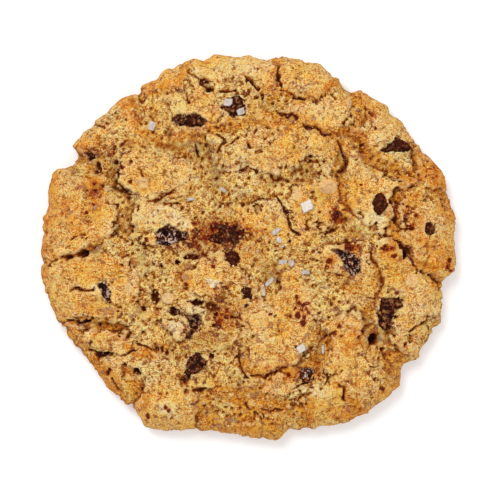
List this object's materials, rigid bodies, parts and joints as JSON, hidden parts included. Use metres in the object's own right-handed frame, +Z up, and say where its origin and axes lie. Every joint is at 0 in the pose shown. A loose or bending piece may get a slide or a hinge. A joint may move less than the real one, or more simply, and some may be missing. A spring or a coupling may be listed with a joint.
{
  "type": "chocolate chip cookie",
  "caption": "Round baked cookie with a low cracked dome, open crumb between its plates of crust, dark chocolate chips and sea salt flakes.",
  "frame": {"origin": "centre of the cookie's bounding box, on its flat base", "axes": "+Z up from the base to the crust, +X along the cookie's widest reach, to the right as the picture shows it, +Y to the picture's top"},
  "size_m": [0.084, 0.0776, 0.0119],
  "materials": {
    "baked_dough": "matt baked crust over a porous golden crumb",
    "dark_chocolate": "satin dark chocolate with a pale bloom",
    "salt": "translucent pale crystals"
  },
  "bodies": {
    "root": {"dough": "baked_dough", "chip_upper_left": "dark_chocolate", "chip_salted": "dark_chocolate", "chip_upper_right": "dark_chocolate", "chip_right": "dark_chocolate", "chip_right_of_centre": "dark_chocolate", "chip_lower_right": "dark_chocolate", "chip_left_of_centre": "dark_chocolate", "chip_centre": "dark_chocolate", "chip_below_centre": "dark_chocolate", "chip_lower_centre": "dark_chocolate", "chip_left": "dark_chocolate", "chip_lower_left": "dark_chocolate", "chip_lower_slot": "dark_chocolate", "chip_rim": "dark_chocolate", "chip_lower_hollow": "dark_chocolate"}
  },
  "joints": []
}
